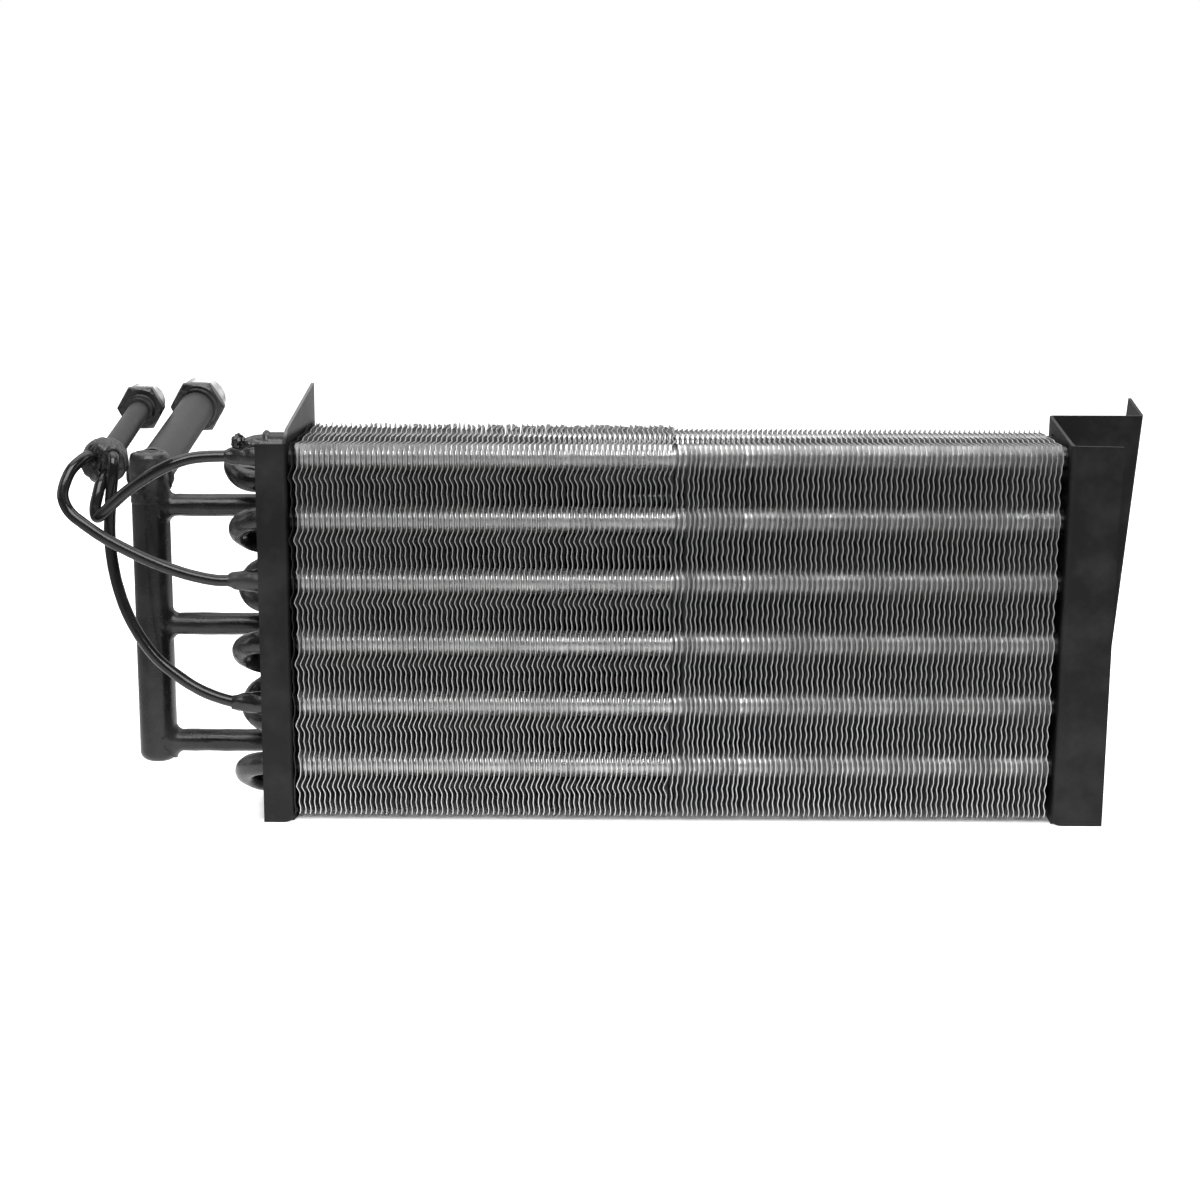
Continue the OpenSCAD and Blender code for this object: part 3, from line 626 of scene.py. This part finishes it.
class CORE_OT_capillaries(bpy.types.Operator):
    """Make the capillaries, and the sleeves that are pinched round their ends"""

    bl_idname = "core.capillaries"
    bl_label = "Capillaries"

    def execute(self, context):
        t = context.scene.core_tubes
        for number, route in enumerate((ROUTE_1, ROUTE_2, ROUTE_3), start=1):
            path = smooth_path(in_core(route))
            grid = lumps(swept(path, t.capillary_r, 24), 0.05 * MM, 90.0, 80 + number)
            build(f"capillary_{number}_smooth", [tube_shell(grid)], material("capillary_paint"),
                  [f"capillary_{number}"])
        for number in range(1, 4):
            shells = [self.sleeve(t, number)]
            y, z = (tube_at(0, 2 * number - 2) - core_origin()[1:]) / MM
            shells.append(closed_both(bead(in_core((BELL_MOUTH, y, z)), (1, 0, 0), t.tube_r + 0.35 * MM, 1.7 * MM,
                                           90 + number, 0.6 * MM)))
            if number == 1:
                shells.append(blob((-23.3, y, z + 5.6), (2.9, 2.6, 3.1), 0.8 * MM, 330.0, 7))
                shells.append(blob((-19.0, y + 0.5, z + 4.2), (4.6, 3.2, 2.6), 0.5 * MM, 240.0, 9))
            build(f"inlet_sleeve_{number}_pinched", shells, material("braze_paint"),
                  [f"inlet_sleeve_{number}"])
        return {"FINISHED"}

    def sleeve(self, t, number):
        """A tube whose outer end is pinched flat: its half width shrinks faster than its half height towards the
        end, then both close round the capillary."""
        x = np.array([-8.0, -14.0, -17.0, -19.0, -21.0, -23.0, -25.0, -26.5, -27.6, -28.4, -28.9, SLEEVE_END])
        share = np.clip((-17.0 - x) / 9.0, 0, 1)
        end = np.clip((-25.5 - x) / 3.5, 0, 1) ** 1.5
        half_y = (t.tube_r / MM) * (1 - 0.42 * share) * (1 - end) + 2.6 * end
        half_z = (t.tube_r / MM) * (1 - 0.22 * share) * (1 - end) + 2.7 * end
        a = np.linspace(0, 2 * np.pi, 36, endpoint=False)
        y, z = (tube_at(0, 2 * number - 2) - core_origin()[1:]) / MM
        grid = np.stack([np.broadcast_to(x[:, None], (len(x), 36)), y + half_y[:, None] * np.cos(a)[None],
                         z + half_z[:, None] * np.sin(a)[None]], axis=-1)[::-1]
        return tube_shell(lumps(in_core(grid), 0.35 * MM, 200.0, 70 + number))


HEADER_AT = (-67.7, 47.625)
SUCTION_Z = 132.5
SUCTION_RISE = 9.3
CAP_R = 9.29
STUB_TUBES = (1, 3, 5)
CAP_PROFILE = ((121.5, 7.4), (122.0, 8.05), (124.0, 8.1), (128.0, 8.25), (133.0, 8.45), (138.0, 8.4), (141.0, 8.2),
               (142.3, 7.7), (142.9, 6.9), (143.0, 6.1), (142.4, 5.3), (142.2, 0.4))


class CORE_OT_header_joints(bpy.types.Operator):
    """Make the stubs with their fillets, and the beads of the header's cap"""

    bl_idname = "core.header_joints"
    bl_label = "Header joints"

    def execute(self, context):
        t = context.scene.core_tubes
        for number, k in enumerate(STUB_TUBES, start=1):
            shells = [self.stub(t, k, number)]
            place = tube_at(2, k)
            shells.append(closed_both(bead((core_origin()[0] + BELL_MOUTH * MM, *place), (1, 0, 0),
                                           t.tube_r + 0.35 * MM, 1.5 * MM, 30 + number)))
            build(f"suction_stub_{number}_brazed", shells, material("tube_paint"),
                  [f"suction_stub_{number}"])
        profile = np.array(CAP_PROFILE)
        fine = np.linspace(0, len(profile) - 1, 60)
        steps = np.arange(len(profile))
        outline = np.stack([np.interp(fine, steps, profile[:, 0]), np.interp(fine, steps, profile[:, 1])], axis=1)
        cap = lumps(turned(outline * MM, in_core((*HEADER_AT, 0.0)), (0, 0, 1), 72), 0.22 * MM, 130.0, 21)
        build("header_cap_brazed", [tube_shell(cap), self.saddle(t)], material("braze_paint"),
              ["header_cap"])
        return {"FINISHED"}

    def stub(self, t, k, seed):
        """A tube with a fillet at the header: in a ring of radius r + w (1 - sin u), each point lies w (1 - cos u)
        beyond the header's cylinder, which is found from its radius and the point's depth."""
        width = 3.0 * MM
        u = np.linspace(0, np.pi / 2, 10)
        ring_r = np.concatenate([[t.tube_r + width], t.tube_r + width * (1 - np.sin(u))])
        off = np.concatenate([[-1.2 * MM], width * (1 - np.cos(u))])
        a = np.linspace(0, 2 * np.pi, 40, endpoint=False)
        y, z = tube_at(2, k)
        across = ring_r[:, None] * np.cos(a)[None]
        up = ring_r[:, None] * np.sin(a)[None]
        centre = core_origin()[0] + HEADER_AT[0] * MM
        surface = centre + np.sqrt(np.maximum(t.header_r**2 - across**2, 0.0)) + off[:, None]
        flare = np.stack([surface, y + across, z + up], axis=-1)
        rest = np.linspace(centre + t.header_r + 1.5 * width, core_origin()[0] - 9.0 * MM, 12)
        straight = np.stack(np.broadcast_arrays(rest[:, None], y + t.tube_r * np.cos(a)[None],
                                                z + t.tube_r * np.sin(a)[None]), axis=-1)
        return tube_shell(lumps(np.concatenate([flare, straight]), 0.16 * MM, 120.0, seed))

    def saddle(self, t):
        """The same fillet where the suction line leaves the back of the cap."""
        rise = math.radians(SUCTION_RISE)
        width, cap_r = 2.0 * MM, CAP_R * MM
        u = np.linspace(0, np.pi / 2, 8)
        ring_r = np.concatenate([[t.header_r + width], t.header_r + width * (1 - np.sin(u)),
                                 [t.header_r - 1 * MM]])
        off = np.concatenate([[-2.0 * MM], width * (1 - np.cos(u)), [width]])
        a = np.linspace(0, 2 * np.pi, 48, endpoint=False)
        across = ring_r[:, None] * np.cos(a)[None]
        up = ring_r[:, None] * np.sin(a)[None]
        x, y, z = in_core((*HEADER_AT, SUCTION_Z))
        behind = np.sqrt(np.maximum(cap_r**2 - across**2, (2 * MM) ** 2)) + off[:, None]
        grid = np.stack([x + across, y + behind - up * math.sin(rise) * 0.6, z + up + behind * math.tan(rise)],
                        axis=-1)
        return tube_shell(lumps(grid[:, ::-1], 0.25 * MM, 200.0, 24))


def line_frame(at, rise, turn):
    """A point, and the direction of a line that starts there: along +Y, raised and turned to the left."""
    rise, turn = math.radians(rise), math.radians(turn)
    return in_core(at), np.array([-math.sin(turn) * math.cos(rise), math.cos(turn) * math.cos(rise),
                                  math.sin(rise)])


class CORE_OT_fittings(bpy.types.Operator):
    """Make the two male fittings, with their threads"""

    bl_idname = "core.fittings"
    bl_label = "Fittings"

    def execute(self, context):
        at, axis = line_frame((*HEADER_AT, SUCTION_Z), SUCTION_RISE, 0)
        self.fitting("suction_fitting", at + axis * 110.5 * MM, axis, 22.0, 22.0, 8.84, 2.0, 6.74)
        at, axis = line_frame(DISTRIBUTOR_AT, LIQUID_RISE, LIQUID_TURN)
        self.fitting("liquid_fitting", at + axis * 101.5 * MM, axis, 18.5, 18.0, 6.15, 7.0, 3.6)
        return {"FINISHED"}

    def fitting(self, name, at, axis, across_flats, thread_d, socket_r, socket_l, bore):
        """Rings along the axis, from the socket to the thread's end and back through the bore. The hexagon's
        radius is the smaller of its flats' and of the chamfer's cone; the thread is a triangle wave along its
        helix."""
        a = np.linspace(0, 2 * np.pi, 96, endpoint=False)
        flats = across_flats / 2 / np.cos(np.mod(a, np.pi / 3) - np.pi / 6)
        hex_l, neck, length, pitch, depth = 5.6, 0.9, 10.5, 1.5, 0.75
        corner = across_flats / 2 / math.cos(math.pi / 6)
        s = [-socket_l, -socket_l, -0.6, -0.01]
        r = [np.full(96, bore), np.full(96, socket_r), np.full(96, socket_r), np.full(96, socket_r + 0.5)]
        for step in (0.0, 0.25, 0.6, 0.9, 1.3, 2.0, 3.6, 4.3, 4.7, 5.0, 5.35, 5.6):
            reach = min(step, hex_l - step)
            s.append(step)
            r.append(np.minimum(flats, across_flats / 2 - 0.5 + 1.6 * min(reach, corner)))
        start = hex_l + neck
        for step, radius in ((hex_l, thread_d / 2 - 1.3), (start, thread_d / 2 - 1.3)):
            s.append(step)
            r.append(np.full(96, radius))
        for step in np.linspace(0, length, 57):
            helix = np.abs(2 * np.mod(step / pitch - a / (2 * np.pi), 1.0) - 1)
            edge = min(step, length - step) - 1.1
            s.append(start + step)
            r.append(np.minimum(thread_d / 2 - depth * helix, thread_d / 2 + min(edge, 0)))
        s += [start + length, start + length - 2.0]
        r += [np.full(96, bore + 2.5), np.full(96, bore)]
        side = np.cross(axis, (0.0, 0.0, 1.0))
        side /= np.linalg.norm(side)
        up = np.cross(side, axis)
        ring = side * np.cos(a)[:, None] - up * np.sin(a)[:, None]
        grid = at + np.array(s)[:, None, None] * MM * axis + np.array(r)[:, :, None] * MM * ring[None]
        build(name + "_threaded", [(grid.reshape(-1, 3), [grid_faces(len(s), 96, wrap_rows=True)])],
              material("thread_metal"), [name], sharp=30)
        piece = bpy.data.objects[name + "_threaded"]
        piece.data.materials.append(material("braze_paint"))
        first = np.arange(len(piece.data.polygons)) // 96
        piece.data.polygons.foreach_set("material_index", (np.array(s)[first] < hex_l - 0.1).astype(np.int32))


DISTRIBUTOR_AT = (-81.5, 22.0, 141.0)
LIQUID_RISE = 7
LIQUID_TURN = 3
DISTRIBUTOR_PROFILE = ((-1.7, 0.3), (-1.6, 2.0), (-1.2, 4.0), (-0.6, 6.0), (0.3, 7.8), (1.6, 8.9), (3.5, 9.3),
                       (6.0, 9.3), (8.5, 9.2), (10.5, 8.7), (13.0, 7.6), (15.0, 6.8), (18.0, 6.7), (18.3, 4.9))


class CORE_OT_distributor(bpy.types.Operator):
    """Make the distributor with the braze round the capillaries' roots"""

    bl_idname = "core.distributor"
    bl_label = "Distributor"

    def execute(self, context):
        t = context.scene.core_tubes
        at, axis = line_frame(DISTRIBUTOR_AT, LIQUID_RISE, LIQUID_TURN)
        s, r = np.array(DISTRIBUTOR_PROFILE).T
        fine = np.linspace(0, len(s) - 1, 50)
        profile = np.stack([np.interp(fine, np.arange(len(s)), s), np.interp(fine, np.arange(len(s)), r)], axis=1)
        shells = [tube_shell(lumps(turned(profile * MM, at, axis, 72), 0.45 * MM, 190.0, 5))]
        for number, route in enumerate((ROUTE_1, ROUTE_2, ROUTE_3)):
            root = np.array(route[1], float)
            away = np.array(route[2], float) - root
            shells.append(closed_both(bead(in_core(root - 0.2 * away), away, t.capillary_r + 0.5 * MM, 1.5 * MM,
                                           100 + number, 0.3 * MM)))
        build("distributor_brazed", shells, material("braze_paint"), ["distributor"])
        return {"FINISHED"}


RIGHT_FLANGE_EDGE = ((197.81, 0.0), (199.9, 0.0), (201.62, 118.2))
FLANGE_FRONT = -89.0
SHEET = 1.3


class CORE_OT_flange_foot(bpy.types.Operator):
    """Make the lower part of the right flange's outer edge, which is straighter than the plate's own"""

    bl_idname = "core.flange_foot"
    bl_label = "Flange foot"

    def execute(self, context):
        front = np.array([(x, FLANGE_FRONT, z) for x, z in RIGHT_FLANGE_EDGE])
        points = np.concatenate([front, front + (0.0, SHEET, 0.0)]) * MM
        sides = np.array([(0, 3, 4, 1), (1, 4, 5, 2), (2, 5, 3, 0)])
        build("right_flange_foot", [(points, [np.array([(0, 1, 2), (5, 4, 3)]), sides])], material("plate_paint"))
        return {"FINISHED"}


class CORE_OT_dress(bpy.types.Operator):
    """Give the pieces that keep their modelled shape their finish"""

    bl_idname = "core.dress"
    bl_label = "Finishes"

    def execute(self, context):
        for name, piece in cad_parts.items():
            if "plate" in name:
                finish = "left_plate_paint" if name.startswith("left") else "plate_paint"
            elif name == "suction_pipe":
                finish = "line_paint"
            elif name == "liquid_pipe":
                finish = "dust_and_top_light_line_paint"
            elif name.startswith("fin_stack"):
                finish = "fin_metal"
            else:
                finish = "tube_paint"
            piece.data.materials.clear()
            piece.data.materials.append(material(finish))
        return {"FINISHED"}


# Stage


def area_light(name, place, target, size, power):
    """A rectangular soft light that faces a point."""
    data = bpy.data.lights.new(name, "AREA")
    data.shape = "RECTANGLE"
    data.size, data.size_y = size
    data.energy = power
    lamp = bpy.data.objects.new(name, data)
    lamp.location = place
    lamp.rotation_mode = "QUATERNION"
    lamp.rotation_quaternion = (Vector(target) - Vector(place)).to_track_quat("-Z", "Y")
    bpy.context.scene.collection.objects.link(lamp)
    return lamp


def rectangle_mask(tree, apart, centre, half, soft):
    """1 inside a rectangle of the floor, 0 outside, with a soft edge."""
    distances = []
    for axis in range(2):
        shift = node(tree, "ShaderNodeMath", operation="SUBTRACT")
        tree.links.new(apart.outputs[axis], shift.inputs[0])
        shift.inputs[1].default_value = centre[axis]
        size = node(tree, "ShaderNodeMath", operation="ABSOLUTE")
        tree.links.new(shift.outputs[0], size.inputs[0])
        beyond = node(tree, "ShaderNodeMath", operation="SUBTRACT")
        tree.links.new(size.outputs[0], beyond.inputs[0])
        beyond.inputs[1].default_value = half[axis]
        distances.append(beyond.outputs[0])
    larger = node(tree, "ShaderNodeMath", operation="MAXIMUM")
    tree.links.new(distances[0], larger.inputs[0])
    tree.links.new(distances[1], larger.inputs[1])
    return spread(tree, larger.outputs[0], -soft, soft, 1.0, 0.0)


def background_shader(tree, lit, white):
    """What the camera and glass see of the backdrop, and what lights the object otherwise."""
    path = node(tree, "ShaderNodeLightPath")
    camera = node(tree, "ShaderNodeMath", operation="MAXIMUM")
    tree.links.new(path.outputs["Is Camera Ray"], camera.inputs[0])
    tree.links.new(path.outputs["Is Transmission Ray"], camera.inputs[1])
    mix = node(tree, "ShaderNodeMixShader")
    tree.links.new(camera.outputs[0], mix.inputs["Fac"])
    tree.links.new(lit, mix.inputs[1])
    tree.links.new(white, mix.inputs[2])
    return mix.outputs[0]


class CORE_OT_stage(bpy.types.Operator):
    """Make the floor, the world, the lights and the camera"""

    bl_idname = "core.stage"
    bl_label = "Stage"

    def execute(self, context):
        s = context.scene.core_stage
        self.floor(s)
        self.world(context)
        centre = (0.0, -0.05, 0.08)
        area_light("top_light", (0.0, 0.1, 1.3), centre, (1.6, 1.0), s.key_power)
        area_light("left_light", (-1.3, -0.3, 0.6), centre, (0.5, 1.0), s.side_power)
        area_light("right_light", (1.3, -0.3, 0.6), centre, (0.5, 1.0), s.side_power)
        area_light("front_light", (0.0, -1.2, 1.3), centre, (1.5, 1.0), s.front_power)
        self.camera(context, s)
        context.scene.view_settings.view_transform = "Standard"
        return {"FINISHED"}

    def floor(self, s):
        """A large floor: white to the camera, with the shadow kept; its own glow fades out under the core. Away
        from the core it is a darker grey for the light that it sends back."""
        reach = 12.0
        corners = np.array([[-reach, -reach, 0], [reach, -reach, 0], [reach, reach, 0], [-reach, reach, 0]])
        mesh = bpy.data.meshes.new("floor")
        mesh.from_pydata(corners, [], [(0, 1, 2, 3)])
        floor = bpy.data.objects.new("floor", mesh)
        bpy.context.scene.collection.objects.link(floor)
        m = bpy.data.materials.new("white_floor")
        m.use_nodes = True
        tree = m.node_tree
        tree.nodes.clear()
        place = node(tree, "ShaderNodeTexCoord")
        apart = node(tree, "ShaderNodeSeparateXYZ")
        tree.links.new(place.outputs["Object"], apart.inputs[0])
        under = rectangle_mask(tree, apart, (0.025, -0.0565), (0.17, 0.028), 0.004)
        near = rectangle_mask(tree, apart, (0.0, 0.0), (0.25, 0.22), 0.16)
        lit = node(tree, "ShaderNodeBsdfDiffuse", color=(0.8, 0.8, 0.8, 1))
        glow = node(tree, "ShaderNodeEmission", color=(1, 1, 1, 1))
        around = rectangle_mask(tree, apart, (0.0, 0.0), (0.45, 0.4), 0.3)
        product = node(tree, "ShaderNodeMath", operation="MULTIPLY")
        tree.links.new(spread(tree, around, 0.0, 1.0, 1.0, s.floor_glow), product.inputs[0])
        tree.links.new(spread(tree, under, 0.0, 1.0, 1.0, 0.0), product.inputs[1])
        tree.links.new(product.outputs[0], glow.inputs["Strength"])
        both = node(tree, "ShaderNodeAddShader")
        tree.links.new(lit.outputs[0], both.inputs[0])
        tree.links.new(glow.outputs[0], both.inputs[1])
        grey = node(tree, "ShaderNodeBsdfDiffuse")
        tree.links.new(mixed(tree, near, (0.3, 0.3, 0.3), (0.85, 0.85, 0.85)), grey.inputs["Color"])
        sheen = node(tree, "ShaderNodeEmission", color=(1, 1, 1, 1))
        open_part = node(tree, "ShaderNodeMath", operation="SUBTRACT")
        tree.links.new(near, open_part.inputs[0])
        tree.links.new(under, open_part.inputs[1])
        tree.links.new(spread(tree, open_part.outputs[0], 0.0, 1.0, 0.0, s.floor_sheen), sheen.inputs["Strength"])
        seen = node(tree, "ShaderNodeAddShader")
        tree.links.new(grey.outputs[0], seen.inputs[0])
        tree.links.new(sheen.outputs[0], seen.inputs[1])
        out = node(tree, "ShaderNodeOutputMaterial")
        tree.links.new(background_shader(tree, seen.outputs[0], both.outputs[0]), out.inputs["Surface"])
        mesh.materials.append(m)

    def world(self, context):
        """White to the camera. To the object it is a bright wall behind and a dim room in front."""
        world = bpy.data.worlds.new("studio")
        context.scene.world = world
        world.use_nodes = True
        tree = world.node_tree
        tree.nodes.clear()
        place = node(tree, "ShaderNodeTexCoord")
        apart = node(tree, "ShaderNodeSeparateXYZ")
        tree.links.new(place.outputs["Generated"], apart.inputs[0])
        soft = node(tree, "ShaderNodeBackground", color=(1, 1, 1, 1))
        tree.links.new(spread(tree, apart.outputs["Y"], -0.1, 0.5, 0.08, 1.0), soft.inputs["Strength"])
        white = node(tree, "ShaderNodeBackground", color=(1, 1, 1, 1), strength=1.0)
        out = node(tree, "ShaderNodeOutputWorld")
        tree.links.new(background_shader(tree, soft.outputs[0], white.outputs[0]), out.inputs["Surface"])

    def camera(self, context, s):
        """A camera at the eye: forward from yaw and pitch, then rolled about its own axis."""
        forward = Vector((math.sin(s.yaw) * math.cos(s.pitch), math.cos(s.yaw) * math.cos(s.pitch),
                          -math.sin(s.pitch)))
        level = Vector((math.cos(s.yaw), -math.sin(s.yaw), 0.0))
        upright = level.cross(forward)
        right = level * math.cos(s.roll) + upright * math.sin(s.roll)
        up = upright * math.cos(s.roll) - level * math.sin(s.roll)
        data = bpy.data.cameras.new("camera")
        data.lens = s.lens
        data.sensor_width = 36.0
        camera = bpy.data.objects.new("camera", data)
        camera.matrix_world = Matrix.Translation(s.eye) @ Matrix((right, up, -forward)).transposed().to_4x4()
        context.scene.collection.objects.link(camera)
        context.scene.camera = camera


class CORE_PT_panel(bpy.types.Panel):
    """The makers of the core's pieces, in the sidebar"""

    bl_idname = "CORE_PT_panel"
    bl_label = "Evaporator core"
    bl_space_type = "VIEW_3D"
    bl_region_type = "UI"
    bl_category = "Core"

    def draw(self, context):
        for operator in MAKERS:
            self.layout.operator(operator.bl_idname)


SETTINGS = {"core_fins": FinSettings, "core_tubes": TubeSettings, "core_finish": FinishSettings,
            "core_stage": StageSettings}
MAKERS = (CORE_OT_stage, CORE_OT_dress, CORE_OT_flange_foot, CORE_OT_fins, CORE_OT_collars, CORE_OT_return_bends,
          CORE_OT_capillaries, CORE_OT_header_joints, CORE_OT_fittings, CORE_OT_distributor)
CLASSES = (*SETTINGS.values(), *MAKERS, CORE_PT_panel)


def register():
    for cls in CLASSES:
        bpy.utils.register_class(cls)
    for name, group in SETTINGS.items():
        setattr(bpy.types.Scene, name, PointerProperty(type=group))


def unregister():
    for name in SETTINGS:
        delattr(bpy.types.Scene, name)
    for cls in reversed(CLASSES):
        bpy.utils.unregister_class(cls)


def main():
    register()
    bpy.ops.core.stage()
    bpy.ops.core.dress()
    bpy.ops.core.flange_foot()
    bpy.ops.core.fins()
    bpy.ops.core.collars()
    bpy.ops.core.return_bends()
    bpy.ops.core.capillaries()
    bpy.ops.core.header_joints()
    bpy.ops.core.fittings()
    bpy.ops.core.distributor()


if __name__ == "__main__":
    main()
